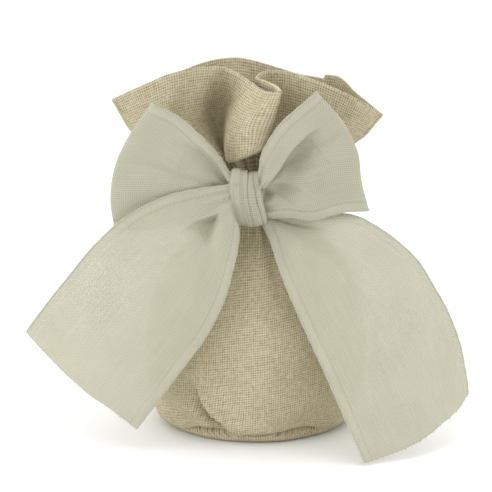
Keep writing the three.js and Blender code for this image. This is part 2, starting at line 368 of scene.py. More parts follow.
def linen_material():
    """Natural linen: uneven threads in a plain weave, with slubs, a few dark flecks and holes of
    every size."""
    n = Nodes("linen")
    place, u, v = cloth_places(n)
    # Threads wander to either side, and each keeps its own tone for a while
    drift_u = n.times_plus(n.noise(n.stretch(place, 0.55, 0.1), 1.0, 3.0), 0.5, -0.25)
    drift_v = n.times_plus(n.noise(n.stretch(place, 0.1, 0.55), 1.3, 3.0), 0.5, -0.25)
    height, cover, over = weave(n, u, v, LINEN_PITCH, (drift_u, drift_v))
    warp_tone = n.noise(n.stretch(place, 1 / LINEN_PITCH, 0.3), 1.0, 1.0)
    weft_tone = n.noise(n.stretch(place, 0.3, 1 / LINEN_PITCH), 1.1, 1.0)
    thread_tone = n.add("Mix", data_type="FLOAT")
    n.put(thread_tone.inputs[0], n.range(over, -0.25, 0.25))
    n.put(thread_tone.inputs[2], weft_tone)
    n.put(thread_tone.inputs[3], warp_tone)
    fibre = n.noise(place, 3.2, 4.0, 0.65)
    cloud = n.noise(place, 0.07, 3.0)
    tone = n.times_plus(thread_tone.outputs[0], 0.65, n.times(cloud, 0.45))
    tone = n.range(n.times_plus(fibre, 0.45, tone), 0.5, 1.1, smooth=False)
    colour = n.mix(tone, (0.442, 0.383, 0.246, 1), (0.71, 0.647, 0.46, 1))
    fleck = n.range(n.noise(n.stretch(place, 0.5, 1.1), 1.0, 2.0), 0.68, 0.75)
    colour = n.mix(n.times(fleck, 0.45), colour, (0.24, 0.17, 0.09, 1))
    # Painted shade: a little between the threads, and most in the holes where four of them meet
    openness = n.times_plus(n.noise(place, 0.8, 2.0), 2.0, -0.25)
    openness = n.times(openness, n.times_plus(thread_tone.outputs[0], -0.5, 1.2))
    between = n.times(n.range(height, 0.02, 0.82, 1.0, 0.0), 0.6)
    corner = n.range(cover, 0.2, 0.9, 1.0, 0.0)
    hole = n.times(n.times_plus(corner, 0.55, between), openness)
    # Painted shade: the colour darkens toward dark brown between the threads and in the holes
    colour = n.mix(n.range(hole, 0.0, 0.95, 0.0, 0.95, smooth=False), colour, (0.15, 0.113, 0.055, 1))
    fuzzy = n.times_plus(fibre, 0.5, height)
    roughness = n.range(fibre, 0.2, 0.8, 0.82, 0.96, smooth=False)
    surface, _ = cloth_shader(
        n, colour, fuzzy, 0.7, 0.15, roughness,
        Specular_IOR_Level=0.2, Sheen_Roughness=0.55, Sheen_Tint=(0.95, 0.9, 0.78, 1),
    )
    n.put(n.add("OutputMaterial").inputs[0], surface)
    return n.material


def ribbon_material():
    """Sheer ribbon: an open plain weave that lets light through, with a dense corded selvage along
    both edges and a row of larger holes beside it."""
    n = Nodes("ribbon")
    place, u, v = cloth_places(n)  # u runs along the ribbon and v across it
    drift_u = n.times_plus(n.noise(n.stretch(place, 0.3, 0.05), 1.0, 2.0), 0.3, -0.15)
    drift_v = n.times_plus(n.noise(n.stretch(place, 0.05, 0.3), 1.2, 2.0), 0.3, -0.15)
    height, cover, _ = weave(n, u, v, RIBBON_PITCH, (drift_u, drift_v))
    from_edge = n.math("MINIMUM", v, n.math("SUBTRACT", RIBBON_WIDTH, v))
    selvage = n.range(from_edge, SELVAGE - 0.25, SELVAGE + 0.15, 1.0, 0.0)
    slant = n.times_plus(from_edge, 0.9, u)
    stitch = n.math("ABSOLUTE", n.math("SINE", n.times(slant, math.pi / STITCH_PITCH)))
    stitch = n.times(stitch, selvage)
    beside_selvage = n.math("SUBTRACT", from_edge, SELVAGE + 0.45)
    ladder = n.range(n.math("ABSOLUTE", beside_selvage), 0.12, 0.4, 1.0, 0.0)
    rung_wave = n.math("SINE", n.times(u, math.pi / STITCH_PITCH))
    rungs = n.range(n.math("ABSOLUTE", rung_wave), 0.35, 0.7)
    cloud = n.noise(place, 0.09, 3.0)
    thread = n.noise(n.stretch(place, 0.08, 1 / RIBBON_PITCH), 1.0, 1.0)
    tone = n.times_plus(cloud, 0.45, n.times(thread, 0.55))
    tone = n.range(tone, 0.3, 0.75, smooth=False)
    colour = n.mix(tone, (0.60, 0.585, 0.468, 1), (0.68, 0.665, 0.54, 1))
    hole = n.range(cover, 0.36, 0.84, 1.0, 0.0)
    hole = n.times(hole, n.math("SUBTRACT", 1.0, selvage))
    hole = n.math("MAXIMUM", hole, n.times(n.times(ladder, rungs), 0.55))
    # Painted shade: the colour is a little darker in the holes
    colour = n.mix(n.times(hole, 0.08), colour, (0.45, 0.435, 0.32, 1))
    colour = n.mix(n.times(stitch, 0.5), colour, (0.73, 0.715, 0.59, 1))
    corded = n.times_plus(stitch, 2.2, height)
    roughness = n.range(thread, 0.2, 0.8, 0.66, 0.8, smooth=False)
    surface, normal = cloth_shader(
        n, colour, corded, 0.5, 0.07, roughness,
        Specular_IOR_Level=0.22, Sheen_Roughness=0.45, Sheen_Tint=(1.0, 0.98, 0.88, 1),
    )
    through = n.add("BsdfTranslucent")
    n.put(through.inputs["Color"], colour)
    n.put(through.inputs["Normal"], normal)
    clear = n.add("BsdfTransparent").outputs[0]
    cloth = n.mix_shaders(0.33, surface, through.outputs[0])
    shown = n.mix_shaders(n.times_plus(hole, 0.30, 0.12), cloth, clear)
    n.put(n.add("OutputMaterial").inputs[0], shown)
    return n.material


linen = linen_material()
ribbon = ribbon_material()

# The linen

# Half width of the pouch at each height, as in the frame's walls.
BELLY_Z = [0, 4, 8.2, 16, 30, 44, 53, 58, 61, NECK_Z, 70]
BELLY_R = [26.6, 27.4, 28.5, 29.5, 28.4, 22.9, 15.4, 11.2, 9.4, 9.0, 9.3]
NECK_TOP = 70.0
PLEATS = 11  # gathers across each panel
GATHER_Z = [0, 26, 38, 47, 53, 58, 62, NECK_TOP]
GATHER = [0, 0, 0.2, 0.75, 1.5, 2.1, 2.1, 2.1]
FOLD_Z = [0, 6, 16, 30, 44, 54, 60, NECK_TOP]
FOLD = [0, 0.12, 0.35, 0.5, 0.55, 0.4, 0.1, 0]

# The wall's foot, as (half width, height): plain, where the belly hangs over the base seam, and
# where it hangs low enough to hide the seam.
FOOT = [(24.0, 4.1), (25.6, 3.8), (26.9, 4.6), (27.8, 6.2), (28.5, 8.2)]
FOOT_HANGING = [(24.0, 4.1), (26.0, 3.7), (28.0, 3.4), (28.9, 5.0), (28.7, 8.2)]
FOOT_LOW = [(24.0, 4.1), (25.8, 2.9), (26.6, 1.7), (27.8, 3.4), (28.5, 8.2)]


def gathers(a, seed):
    """The gathers' section across a panel, from -1 in a valley to 1 on a ridge."""
    rng = np.random.default_rng(seed)
    share = a / PANEL_WIDTH
    swing = 0.055 * np.sin(TAU * 1.5 * share + rng.uniform(0, TAU))
    swing = (swing + 0.03 * np.sin(TAU * 3.7 * share + rng.uniform(0, TAU))) * np.sin(math.pi * share)
    fold = np.abs(np.sin(math.pi * PLEATS * (share + swing))) ** 0.8
    return 2 * fold * (0.82 + 0.18 * np.sin(TAU * 2.6 * share + rng.uniform(0, TAU))) - 1


def wide_folds(a, z, seed):
    """Soft folds that run down the belly from the gathers."""
    rng = np.random.default_rng(seed)
    share = a / PANEL_WIDTH
    total = 0
    for count in (2.5, 4, 5.5):
        lean = rng.uniform(-0.0004, 0.0004) * (z - 40)
        total = total + np.sin(TAU * count * (share + lean) + rng.uniform(0, TAU)) / count**0.5
    return total * np.sin(math.pi * share) ** 0.5


def hoop(angle, z, r):
    """Places round the pouch at angles from +X, heights z and half widths r."""
    return np.stack([r * np.cos(angle), DEPTH_SHARE * r * np.sin(angle), z + 0 * angle], axis=-1)


def around(a, z, r, side):
    """Places on a panel at cloth places a across it. side is -1 in front and 1 behind."""
    share = a / PANEL_WIDTH
    return hoop(math.pi * (1 + share) if side < 0 else math.pi * (1 - share), z, r)


def wall_row(a, z, r, side, seed, calm=1.0):
    """A row of places on a panel's wall, with its gathers and folds."""
    ridge = gathers(a + 0.8 * np.sin(z / 7 + a / 9), seed)
    r = r - hermite(GATHER_Z, GATHER, z) * calm * (1 - ridge)
    r = r + hermite(FOLD_Z, FOLD, z) * wide_folds(a, z, seed + 1)
    r = r + 0.2 * ripple(a, z, seed + 2, 26) * smoothstep(3, 14, z) * (1 - smoothstep(50, 58, z))
    from_seam = np.minimum(a, PANEL_WIDTH - a)
    r = r - 0.45 * bump(from_seam, 0, 1.3) * smoothstep(4, 9, z)
    return around(a, z, r, side)


def plain_row(a, z, side):
    """A row of places on a panel's wall at one height, without gathers or folds."""
    return around(a, z, hermite(BELLY_Z, BELLY_R, z), side)


# The frill above the neck, as rows of places across a panel, from the neck to the rim.
FRONT_RIM = [
    (-38, 0, 87.2), (-29.5, -5.5, 92.2), (-21, -8.5, 96.2), (-13, -4.5, 96.8), (-8.3, -3, 96.3),
    (-4.8, -5.5, 95.2), (-0.8, -10, 93.4), (3, -14.8, 92.4), (6.4, -16.8, 92.8), (5.6, -13, 93.4),
    (2.6, -8.6, 94), (0.4, -4.6, 94.1), (2, -0.8, 94.9), (6.8, -1.8, 95.2), (14.3, -6, 93.9),
    (24.5, -6.5, 89.6), (33.5, 0, 83.2),
]
FRONT_MIDDLE = [
    (-31, 0, 77.5), (-25, -6, 81), (-19.5, -8.6, 83.5), (-14.8, -4.2, 84), (-11.2, 2.6, 83.4),
    (-8.4, 1.6, 82.6), (-6.7, -10.4, 82), (-2.5, -15.6, 82), (3.2, -15.8, 82), (4.4, -12, 82),
    (2.6, -8, 82), (1.2, -4.5, 82), (2.6, -1.5, 82), (6.5, -2.5, 82), (13, -6, 81.5),
    (20, -5, 79), (26.5, 0, 76),
]
FRONT_LOW = [
    (-18, 0, 72.5), (-16, -5, 74.5), (-13.6, -6.8, 76.5), (-11.5, -4, 77), (-9.9, 0.4, 76.8),
    (-8.5, -1.2, 75.2), (-7.0, -12.4, 73.6), (-3.4, -15.4, 75.2), (0.8, -15.4, 77), (2.2, -12.6, 77),
    (2.2, -9.8, 75.8), (2.4, -8, 75.2), (4, -7, 74.6), (6.5, -7.5, 74.5), (10, -7, 74.5),
    (13.5, -5, 73.5), (16.5, 0, 72.5),
]
# Above the knot the frill first rises, then folds forward over it: places for its foot by column.
FRONT_TUCK = {
    4: (-9.0, -1.4, 73.6), 5: (-7.8, -3.4, 73.8), 6: (-5.6, -9.2, 75.0), 7: (-2.6, -10.2, 76.9),
    8: (0.2, -10.2, 77.9), 9: (1.4, -9.4, 77.2),
}
BACK_RIM = [
    (-38, 0, 87.2), (-32.2, 5, 88.1), (-26, 9, 90.2), (-19.5, 11.3, 93), (-13, 12.2, 95.2),
    (-6.9, 12, 96.3), (-2.8, 10.3, 96.4), (-0.8, 9.6, 96), (4.2, 11.4, 94.2), (11.9, 12, 91.8),
    (17.5, 10.8, 91), (20.3, 9.6, 90.4), (19.2, 6.6, 92.6), (21.6, 5.4, 92.6), (27, 4, 88),
    (33.5, 0, 83.2),
]
BACK_MIDDLE = [
    (-31, 0, 77.5), (-26, 6, 79), (-20, 9.5, 81), (-15, 10.5, 82), (-10, 11, 82.5),
    (-5.5, 10.5, 83), (-2.6, 9.2, 83), (-0.9, 8.6, 83), (3.5, 10, 82.5), (9, 10.8, 82),
    (13.5, 10, 81), (16.3, 9, 80.5), (16.2, 6.8, 81), (18, 5.8, 80.5), (22, 3.8, 78.5),
    (26.5, 0, 76),
]
BACK_LOW = [
    (-18, 0, 72.5), (-16.5, 4, 73.5), (-13.5, 7, 74.5), (-10.5, 8.8, 75), (-7, 10, 75.2),
    (-4, 10.2, 75.4), (-2, 9.6, 75.4), (-0.6, 9.3, 75.4), (2.5, 9.8, 75.2), (6, 9.6, 75),
    (9, 8.6, 74.8), (11, 7.4, 74.6), (12, 6, 74.4), (13.2, 4.8, 74), (15, 2.8, 73.2),
    (16.5, 0, 72.5),
]
FRILL = 29.0  # from the neck's top to the rim, along the cloth
FRILL_STEPS = [-5.0, 0.0, 5.0, 9.0, 17.5, FRILL]
RIM_GAP = 0.55  # between the rim's two layers
OFF_GRAIN = 0.13  # how far the belly's weft climbs for each step across
BACK_PLACE = 140.0  # the back is cut from another part of the linen

# Creases in the front wall, as the camera sees them: across, and up.
KNOT_CREASE = [(1.0, 54.5), (2.0, 50.9), (3.8, 43), (5.5, 35.4), (6.6, 29)]
BASE_CREASE = [(-19.5, 13.5), (-16.1, 9.2), (-10.6, 1.1), (-6.9, -1.6)]
BASE_RIDGE = [(-23.5, 9), (-17.8, 3.4), (-12.7, -1)]
BASE_LAP = (-1.3, -0.35, -0.7)  # how far the belly laps over the base crease


def foot(a, side):
    """The rows at the wall's foot, as half widths and heights at every cloth place a."""
    t = np.linspace(0, 1, 14)
    knots = np.linspace(0, 1, len(FOOT))
    plain, hanging, low = (hermite(knots, row, t)[:, None] for row in (FOOT, FOOT_HANGING, FOOT_LOW))
    hang = 0.25 + 0.2 * ripple(a, 0 * a, 70 + side, 30)
    if side < 0:
        hang = hang + 0.75 * smoothstep(34, 42, a) * (1 - smoothstep(52, 64, a))
        hide = smoothstep(3, 12, a) * (1 - smoothstep(24, 33, a))
        hide = hide + smoothstep(66, 76, a) * (1 - smoothstep(88, 97, a))
    else:
        hide = 0.45 + 0.35 * ripple(a, 0 * a, 72, 34)
    off_seam = smoothstep(0, 5, np.minimum(a, PANEL_WIDTH - a))
    hang, hide = (hang * off_seam)[None, :, None], (hide * off_seam)[None, :, None]
    rows = plain + (hanging - plain) * hang * (1 - hide) + (low - plain) * hide
    return rows[..., 0], rows[..., 1]


def creased(wall):
    """The front wall with the creases that run down from the knot and up from the base seam."""
    x, s = seen(wall)
    push = groove(x, s, KNOT_CREASE, (1.5, 1.8, 1.3, 0.7, 0), 1.2)
    push += drop(x, s, BASE_CREASE, (0, 1.6, 3.5, 3.6), 0.4, 0.8, 1.8)
    # The belly laps over the hollow of the base crease, and then rises into a ridge beside it.
    side, along = beside(x, s, BASE_CREASE)
    lap = bump(np.minimum(side + 0.3, 0), 0, 4.0) * bump(np.maximum(side + 0.3, 0), 0, 0.7)
    lap = lap * smoothstep(0.15, 0.6, along) * smoothstep(12, 6, s)
    wall = wall + lap[..., None] * BASE_LAP
    push -= groove(wall[..., 0], s, BASE_RIDGE, (0, 1.2, 1.3), 1.4)
    return wall + level(wall) * push[..., None]


def level(places):
    """Unit steps straight out from the pouch's axis."""
    outward = places * [1, 1, 0]
    return outward / np.linalg.norm(outward, axis=-1, keepdims=True)


def wall_cloth(a, side, seed, calm):
    """The wall's rows from the foot to the neck's top, and how high each lies along the cloth."""
    foot_r, foot_z = foot(a, side)
    rows = [wall_row(a, z, r, side, seed) for r, z in zip(foot_r[:-1], foot_z[:-1])]
    heights = np.concatenate([np.linspace(FOOT[-1][1], 50, 76), np.linspace(50.6, NECK_TOP, 42)])
    rows += [wall_row(a, z, hermite(BELLY_Z, BELLY_R, z), side, seed, calm) for z in heights]
    wall = np.stack(rows)
    if side < 0:
        wall = creased(wall)
    foot_run = run_length(wall[: len(foot_z)]).mean(axis=1)
    return wall, np.concatenate([FOOT[-1][1] + foot_run[:-1] - foot_run[-1], heights])


def frill_cloth(a, side, net, tuck, seed, calm):
    """The frill's rows from the neck to the rim, and how far above the neck each lies along the
    cloth. net holds the frill's low, middle and rim rows, and tuck moves places of its foot."""
    low, middle, rim = (np.array(row, float) for row in net)
    run = run_length(rim)
    knots = run / run[-1] * PANEL_WIDTH
    tucked = 0.45 * plain_row(knots, NECK_TOP, side) + 0.55 * low
    for column, place in tuck.items():
        tucked[column] = place
    rows = [plain_row(a, NECK_TOP + FRILL_STEPS[0], side), plain_row(a, NECK_TOP, side)]
    rows += [hermite(knots, row, a) for row in (tucked, low, middle, rim)]
    v = np.linspace(0.35, FRILL, 64)
    frill = hermite(FRILL_STEPS, np.stack(rows), v)
    # The gathers fade away above the neck, where softer folds take over for a while.
    ridge = gathers(a + 0.8 * np.sin(NECK_TOP / 7 + a / 9), seed)
    gathered = GATHER[-1] * calm * (ridge - 1) * (1 - smoothstep(0, 10, v))[:, None]
    soft = 0.5 * np.sin(math.pi * PLEATS * 0.9 * a / PANEL_WIDTH + seed)
    gathered = gathered + soft * (smoothstep(2, 14, v) * (1 - smoothstep(14, 28, v)))[:, None]
    frill = frill + level(plain_row(a, NECK_TOP, side))[None] * gathered[..., None]
    uneven = 0.26 * ripple(a[None, :], v[:, None], seed + 5, 17) * smoothstep(4, 12, v)[:, None]
    return frill + normals(frill) * uneven[..., None], v


def turned_hem(frill, v):
    """The hem, which turns over at the rim and lies inside, and how far each of its rows is past
    the rim along the cloth."""
    inward = normals(frill)
    inward *= -np.sign(np.sum(inward[-1, 20:40] * frill[-1, 20:40] * [1, 1, 0]))
    up = frill[-1] - frill[-2]
    up /= np.linalg.norm(up, axis=1, keepdims=True)
    turn = [
        frill[-1] + RIM_GAP / 2 * (up * math.sin(t) + inward[-1] * (1 - math.cos(t)))
        for t in np.linspace(0.25, math.pi, 7)
    ]
    back_v = np.linspace(FRILL - 0.5, FRILL - HEM, 14)
    inside = hermite(v, frill, back_v) + hermite(v, inward, back_v) * RIM_GAP
    return np.concatenate([turn, inside]), np.concatenate([np.linspace(0.1, 0.8, 7), FRILL + 0.8 - back_v])


def panel(name, side, net, tuck, seed):
    """A whole panel in one sheet: the wall, the gathered neck, the frill and its turned hem."""
    a = np.linspace(0, PANEL_WIDTH, 300)
    calm = 1 - 0.78 * bump(a, 47, 17) if side < 0 else 1.0  # few gathers show beside the knot
    wall, wall_down = wall_cloth(a, side, seed, calm)
    frill, v = frill_cloth(a, side, net, tuck, seed, calm)
    hem, past_rim = turned_hem(frill, v)
    grid = np.concatenate([wall, frill, hem])
    # Cloth places: threads keep their spacing near the neck, where the gathers take up the rest.
    down = np.concatenate([wall_down, NECK_TOP + v, NECK_TOP + FRILL + past_rim])
    run = run_length(grid.transpose(1, 0, 2)).T
    centred = run - run[:, 150:151] + PANEL_WIDTH / 2
    keep = smoothstep(34, 54, down) * (1 - smoothstep(NECK_TOP + 4, NECK_TOP + 22, down))
    across = a[None] + (centred - a[None]) * keep[:, None]
    lean = OFF_GRAIN * (1 - smoothstep(40, 62, down))[:, None] * (across - PANEL_WIDTH / 2)
    across = across + (0 if side < 0 else BACK_PLACE)
    return mesh(name, grid, across, down[:, None] - lean, linen, LINEN_THICK)


front = panel("front_panel_cloth", -1, (FRONT_LOW, FRONT_MIDDLE, FRONT_RIM), FRONT_TUCK, 3)
back = panel("back_panel_cloth", 1, (BACK_LOW, BACK_MIDDLE, BACK_RIM), {}, 11)


def base_cloth():
    """The round base, with its rim turned up to the seam."""
    angle = np.linspace(0, TAU, 240, endpoint=False)
    profile = [
        (1, 0.3), (8, 0.3), (15, 0.3), (20.5, 0.3), (23.2, 0.3), (25.1, 0.6), (25.8, 1.4), (25.4, 2.5),
        (23.9, 3.85),
    ]
    sections = hermite(np.arange(len(profile)), profile, np.linspace(0, len(profile) - 1, 40))
    rows = []
    for r, z in sections:
        wave = 0.12 * np.sin(angle * 9 + z) + bump(angle, 1.5 * math.pi, 0.7)  # fuller in front
        wave = wave * smoothstep(20, 24.5, r)
        rows.append(hoop(angle, z, r + wave))
    grid = np.stack(rows)
    down = grid[..., 1] - grid[..., 2]
    return mesh("base_cloth", grid, grid[..., 0], down, linen, LINEN_THICK, closed=True)


def inner_seam(name, side):
    """A side seam's turned allowance, inside the wall. side is -1 at the left and 1 at the right."""
    z = np.linspace(8, NECK_TOP, 90)[:, None]
    across = np.linspace(0.4, ALLOWANCE, 8)[None, :]
    r = hermite(BELLY_Z, BELLY_R, z) - 0.95 - hermite(GATHER_Z, GATHER, z) * 2
    angle = math.pi + across / r if side < 0 else -across / r
    return mesh(name, hoop(angle, z, r), across, z, linen, LINEN_THICK)


def inner_base_seam():
    """The base seam's turned allowance, standing against the wall inside."""
    angle = np.linspace(0, TAU, 200, endpoint=False)[None]
    t = np.linspace(0, 1, 8)[:, None]
    low_r, high_r, low_z = 24.9, 27.1, 4.9
    grid = hoop(angle, low_z + 0.8 * ALLOWANCE * t, low_r + (high_r - low_r) * t)
    return mesh("base_seam_cloth", grid, angle * 26, t * ALLOWANCE, linen, LINEN_THICK, closed=True)


base = base_cloth()
seams = [inner_seam("left_seam_cloth", -1), inner_seam("right_seam_cloth", 1), inner_base_seam()]

# The ribbon


def tube(path, frame_normals, radius, sides):
    """Rings of places round a path. radius may vary along it."""
    along = np.gradient(path, axis=0)
    along /= np.linalg.norm(along, axis=1, keepdims=True)
    across = np.cross(along, frame_normals)
    across /= np.maximum(np.linalg.norm(across, axis=1, keepdims=True), 1e-9)
    up = np.cross(across, along)
    turn = np.linspace(0, TAU, sides, endpoint=False)
    ring = np.cos(turn)[None, :, None] * across[:, None] + np.sin(turn)[None, :, None] * up[:, None]
    return path[:, None] + ring * np.reshape(radius, (-1, 1, 1))


def selvage_cord(name, path, path_normals):
    """The bobbly cord along a ribbon's edge."""
    run = run_length(path)
    even = np.arange(0, run[-1], STITCH_PITCH / 5)
    bobble = 0.17 + 0.12 * np.abs(np.sin(even * math.pi / STITCH_PITCH)) + 0.03 * np.sin(even * 1.7)
    grid = tube(pick(path, run, even), pick(path_normals, run, even), bobble, 6)
    return mesh(name, grid, even[:, None], 0.4, ribbon, closed=True)


def threads(name, lines, radius):
    """Loose threads, all in one piece."""
    tubes, faces, first = [], [], 0
    for path in lines:
        tubes.append(tube(path, np.tile([0.3, -1, 0.2], (len(path), 1)), radius, 3))
        for i in range(first, first + len(path) - 1):
            for j in range(3):
                k = (j + 1) % 3
                faces.append((3 * i + j, 3 * i + 3 + j, 3 * i + 3 + k, 3 * i + k))
        first += len(path)
    on_selvage = [0.004] * (8 * len(faces))
    return piece_from(name, np.concatenate(tubes), faces, on_selvage, ribbon, False)


def frayed(grid, seed):
    """Short fibres standing out of a ribbon's cut end."""
    rng = np.random.default_rng(seed)
    out = grid[-1] - grid[-3]
    out /= np.linalg.norm(out, axis=1, keepdims=True)
    lines = []
    for place in rng.uniform(0, len(out) - 1, 90):
        i = int(place)
        step = grid[-1, i + 1] - grid[-1, i]
        start = grid[-1, i] + step * (place - i)
        length = rng.uniform(0.1, 0.4) if rng.uniform() < 0.94 else rng.uniform(0.6, 1.2)
        side = step / np.linalg.norm(step)
        bend = rng.normal(0, 0.35) * side + rng.normal(0, 0.2, 3)
        t = np.linspace(0, 1, 4)[:, None]
        lines.append(start - 0.3 * out[i] + t * (length + 0.3) * out[i] + t**2 * length * bend)
    return lines


def stray_loops(path, places, rise, seed):
    """Threads that have pulled out of a selvage into small loops. rise points away from the edge."""
    rng = np.random.default_rng(seed)
    run = run_length(path)
    lines = []
    for place in places:
        length, height = rng.uniform(1.5, 3.2), rng.uniform(0.35, 0.9)
        t = np.linspace(0, 1, 9)
        foot_line = pick(path, run, place * run[-1] + t * length)
        away = height * (np.array(rise) + rng.normal(0, 0.15, 3))
        lines.append(foot_line + np.sin(math.pi * t)[:, None] * away)
    return lines


def ribbon_sheet(name, grid, u, hidden):
    """A ribbon sheet and the cords along its edges. Its threads keep their spacing, and what the
    gathers take up is hidden at the place `hidden` across it."""
    w = np.linspace(0, 1, grid.shape[1])[None, :]
    run = run_length(grid.transpose(1, 0, 2)).T
    v = run + (RIBBON_WIDTH - run[:, -1:]) * smoothstep(hidden - 0.03, hidden + 0.03, w)
    n = normals(grid)
    pieces = [mesh(name, grid, u, v, ribbon, RIBBON_THICK)]
    for edge, column in (("lower", 0), ("upper", -1)):
        pieces.append(selvage_cord(f"{name}_{edge}_cord", grid[:, column], n[:, column]))
    return pieces


def neck_ribbon():
    """The turn of ribbon bunched round the neck."""
    angle = np.linspace(0, TAU, 260, endpoint=False)
    s, t = np.meshgrid(np.linspace(0, 1, 64), angle, indexing="ij")
    z = NECK_Z + (s - 0.5) * 2 * (BAND_HALF - 0.2) + 0.35 * np.sin(t * 3 + 1) * (s - 0.5)
    drift = 0.9 * np.sin(2 * t + 0.4) + 0.5 * np.sin(5 * t)
    bunch = 0.7 * np.sin(TAU * 3.6 * s + drift) * np.sin(math.pi * s) ** 0.4
    r = BAND_R - 1.4 + 0.5 * np.sin(math.pi * s) ** 0.6 + bunch + 0.15 * np.sin(11 * t + 3 * s)
    grid = hoop(t, z, r)
    return mesh("neck_ribbon", grid, t * BAND_R, s * RIBBON_WIDTH, ribbon, RIBBON_THICK, closed=True)


OVERLAP = 0.585  # where the wrap's second layer begins, as a share of its width
WRAP_CLOTH = 10.2  # the cloth that the wrap shows across it


def knot_ribbon():
    """The wrap over the knot: a folded band that leans a little, with soft upright creases."""
    s, t = np.meshgrid(np.linspace(0, 1, 110), np.linspace(0, TAU, 180, endpoint=False), indexing="ij")
    half_height = (wrap_high[2] - wrap_low[2]) / 2
    half_depth = (wrap_high[1] - wrap_low[1]) / 2
    # t = 0 faces front and a quarter turn is the top.
    facing, rise = np.cos(t), np.sin(t)
    round_front = np.sign(facing) * np.abs(facing) ** 0.8
    round_top = np.sign(rise) * np.abs(rise) ** 0.8
    left = hermite([-1, -0.6, 0, 0.6, 1], [-5.1, -6.3, -7.2, -7.2, -6.7], round_top)
    right = hermite([-1, -0.5, 0, 0.5, 1], [3.0, 2.5, 1.7, 1.2, 0.9], round_top)
    x = left + (right - left) * s
    # The edges turn under, and two fuller bands lie between the creases.
    lift = -0.75 * (1 - smoothstep(0, 0.09, s)) - 0.75 * smoothstep(0.93, 1, s)
    lift += 0.28 * bump(s, 0.3, 0.26) + 0.25 * bump(s, 0.7, 0.1)
    lift -= 0.3 * bump(s, OVERLAP + 0.02 * round_top, 0.02)
    lift -= 0.5 * bump(s, 0.83 - 0.05 * round_top, 0.02) * (0.6 + 0.4 * round_front)
    lift -= 0.13 * bump(s, 0.17 + 0.02 * rise, 0.018) + 0.12 * bump(s, 0.45, 0.02)
    lift -= 0.1 * bump(s, 0.72, 0.018)
    step = 0.65 * smoothstep(0.57, 0.61, s) * smoothstep(0.2, 0.8, round_top)
    y = KNOT[1] - round_front * (half_depth - 0.2 + lift)
    wavy_top = 0.25 * np.sin(9 * s) * np.abs(round_top)
    z = KNOT[2] + round_top * (half_height - 0.1 + 0.6 * lift) - step + wavy_top
    grid = np.stack([x, y, z], -1)
    # Cloth places: one selvage shows near the left, and another where the layers overlap.
    v = np.where(s < OVERLAP, s * WRAP_CLOTH - 1.452, 3.3 + (s - OVERLAP) * WRAP_CLOTH)
    return mesh("knot_ribbon", grid, t * 7, np.abs(v) + 0.1, ribbon, RIBBON_THICK * 1.6, closed=True)


def centre_ribbon():
    """The gathered ribbon that passes through the wrap."""
    s, t = np.meshgrid(np.linspace(-1, 1, 40), np.linspace(0, TAU, 96, endpoint=False), indexing="ij")
    low, high = node_box("bow_centre")
    middle, half = (low + high) / 2, (high - low) / 2
    size = 0.93 + 0.1 * s**2 - 0.14 * np.abs(np.sin(t * 4.5)) ** 0.7
    grid = np.stack([
        middle[0] + s * half[0] * 1.05,
        middle[1] + np.cos(t) * half[1] * size,
        middle[2] + np.sin(t) * half[2] * size,
    ], -1)
    return mesh("bow_gather", grid, s * 8, t / TAU * RIBBON_WIDTH, ribbon, RIBBON_THICK, closed=True)


def loop(name, root, fold, lower, upper, half_depth, creases, hidden, seed):
    """A bow loop. Seen from the front it fills its four edges; its front and back layers part
    between the root and the fold. creases(x, s) pushes the front layer out, in millimetres. The
    gathers at the root hide part of the ribbon's width at `hidden` across it."""
    steps_a, steps_w = 110, 120
    along = np.sin(np.linspace(0, math.pi / 2, steps_a))  # closer steps at the fold
    flat = coons(line(root, steps_w), line(fold, steps_w), line(lower, 60), line(upper, 60))
    flat = hermite(np.linspace(0, 1, 60), flat, along)
    a, w = along[:, None], np.linspace(0, 1, steps_w)[None, :]
    opening = np.sqrt(np.clip(1 - a**3.2, 0, 1)) * (0.36 + 0.64 * smoothstep(-0.05, 0.4, a))
    opening = opening * (1 - 0.3 * (2 * w - 1) ** 4 * (1 - a) - 0.12 * (2 * w - 1) ** 2)
    layers = []
    for sign in (-1, 1):
        layer = flat.copy()
        swell = half_depth * opening
        swell = swell + 2.3 * np.sin(TAU * 6 * w) * bump(a, 0, 0.05)
        swell = swell + 0.4 * np.sin(TAU * 4.5 * w + seed) * bump(a, 0.12, 0.12)
        swell = swell + 0.3 * ripple(a * 36, w * 40, seed + sign, 24) * np.sin(math.pi * a)
        layer[..., 1] += sign * swell
        if sign < 0:
            layer[..., 1] -= creases(*seen(layer)) * smoothstep(1.0, 0.8, a)
        else:
            layer[..., 2] -= 1.7 * smoothstep(0.7, 1, w) * np.sin(math.pi * a)
            for place, depth in ((0.3, 1.3), (0.62, 1.6)):
                layer[..., 1] -= depth * bump(w, place, 0.05 + 0.08 * a) * bump(a, 0, 0.4)
        layers.append(layer)
    grid = np.concatenate([layers[0], layers[1][::-1][1:]])
    reach = run_length(flat[:, steps_w // 2])
    u = np.concatenate([reach, 2 * reach[-1] - reach[::-1][1:]])
    return ribbon_sheet(name, grid, u[:, None], hidden)


def in_bow(*points):
    """Places in the bow's own upright plane, from their x and z."""
    return [(x, KNOT[1], z) for x, z in points]


LEFT_ROOT = in_bow((-4.6, 61.5), (-4.8, 66), (-4.6, 70.4))
LEFT_FOLD = in_bow((-37, 56.7), (-37.9, 65), (-36.4, 74), (-32.2, 82.7), (-27, 90))
LEFT_LOWER = in_bow((-4.6, 61.5), (-12, 60), (-24, 57.6), (-37, 56.7))
LEFT_UPPER = in_bow((-4.6, 70.4), (-7.2, 72.4), (-9.9, 76.9), (-14.4, 82), (-20, 87), (-27, 90))
# A shallow hollow under the band along the upper edge.
LEFT_HOLLOW = [(-21.5, 73.5), (-17.5, 72.6), (-14, 70.6), (-11, 67.8), (-8.4, 64.2)]


